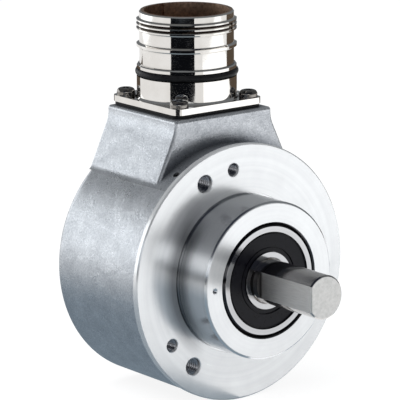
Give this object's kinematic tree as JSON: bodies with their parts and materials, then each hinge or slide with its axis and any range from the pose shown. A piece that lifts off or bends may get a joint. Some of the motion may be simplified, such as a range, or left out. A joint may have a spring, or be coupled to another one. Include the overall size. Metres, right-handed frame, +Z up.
{
  "type": "incremental rotary encoder",
  "caption": "Round flange-mounted incremental rotary encoder with a projecting flatted shaft, centring collar and a threaded plug connector on a saddle.",
  "frame": {"origin": "centre of the flange's mounting face, on the shaft axis", "axes": "-Y along the shaft towards its free end, +Z up to the connector, +X to the right seen from the shaft end"},
  "size_m": [0.059, 0.0615, 0.087],
  "materials": {
    "cast_metal": "matt grainy die-cast metal",
    "turned_aluminium": "bright satin turned metal",
    "nickel": "bright nickel plate",
    "screw_steel": "dark nickel-plated steel",
    "ground_steel": "ground stainless steel",
    "bearing_steel": "ground bearing steel",
    "ball_steel": "polished steel",
    "spring_steel": "dark spring steel",
    "black_rubber": "matt black rubber",
    "seal_rubber": "smooth near-black rubber",
    "cage_plastic": "unfilled polyamide",
    "insert_plastic": "dark moulded plastic",
    "contact_gold": "gold-plated contact",
    "board_green": "green board lacquer",
    "chip_black": "moulded black package",
    "disc_metal": "etched thin metal",
    "hub_brass": "turned brass",
    "clear_glass": "clear glass",
    "lamp_clear": "clear moulded lamp body",
    "sensor_dark": "dark sensor window",
    "cable_white": "white flat cable",
    "capacitor_can": "can with sleeve"
  },
  "bodies": {
    "encoder_body": {"bearing_flange": "turned_aluminium", "housing": "cast_metal", "housing_seal_ring": "black_rubber", "housing_set_screws": "screw_steel", "preload_spring": "spring_steel", "bearing_retaining_ring": "spring_steel", "light_holder": "insert_plastic", "light_holder_screws": "screw_steel", "light_source": "lamp_clear", "condenser_lens": "clear_glass", "scanning_reticle": "clear_glass", "photo_sensor": "sensor_dark", "sensor_carrier": "chip_black", "circuit_board": "board_green", "board_standoffs": "hub_brass", "board_screws": "screw_steel", "board_chips": "chip_black", "board_capacitors": "capacitor_can", "board_header": "cable_white", "flat_cable": "cable_white", "connector_shell": "nickel", "connector_gasket": "black_rubber", "connector_seal_ring": "black_rubber", "connector_screws": "screw_steel", "contact_insert": "insert_plastic", "contact_pins": "contact_gold", "contact_board": "board_green", "insert_snap_ring": "spring_steel", "front_bearing_outer_ring": "bearing_steel", "front_bearing_front_seal": "seal_rubber", "front_bearing_rear_seal": "seal_rubber", "rear_bearing_outer_ring": "bearing_steel", "rear_bearing_front_seal": "seal_rubber", "rear_bearing_rear_seal": "seal_rubber"},
    "rotor": {"shaft": "ground_steel", "front_bearing_inner_ring": "bearing_steel", "rear_bearing_inner_ring": "bearing_steel", "bearing_spacer": "ground_steel", "shaft_retaining_ring": "spring_steel", "disc_hub": "hub_brass", "hub_set_screws": "screw_steel", "code_disc": "disc_metal", "disc_clamp_ring": "hub_brass", "disc_clamp_screws": "screw_steel"},
    "front_ball_set": {"front_bearing_balls": "ball_steel", "front_bearing_cage": "cage_plastic"},
    "rear_ball_set": {"rear_bearing_balls": "ball_steel", "rear_bearing_cage": "cage_plastic"}
  },
  "joints": [
    {"name": "shaft_spin", "type": "hinge", "parent": "encoder_body", "child": "rotor", "pos_m": [0, 0, 0], "axis": [0, 1, 0], "continuous": true},
    {"name": "front_cage_spin", "type": "hinge", "parent": "encoder_body", "child": "front_ball_set", "pos_m": [0, -0.006, 0], "axis": [0, 1, 0], "continuous": true},
    {"name": "rear_cage_spin", "type": "hinge", "parent": "encoder_body", "child": "rear_ball_set", "pos_m": [0, 0.007, 0], "axis": [0, 1, 0], "continuous": true}
  ],
  "couplings": [
    {"joint": "front_cage_spin", "follows": "shaft_spin", "ratio": 0.3677},
    {"joint": "rear_cage_spin", "follows": "shaft_spin", "ratio": 0.3677}
  ]
}
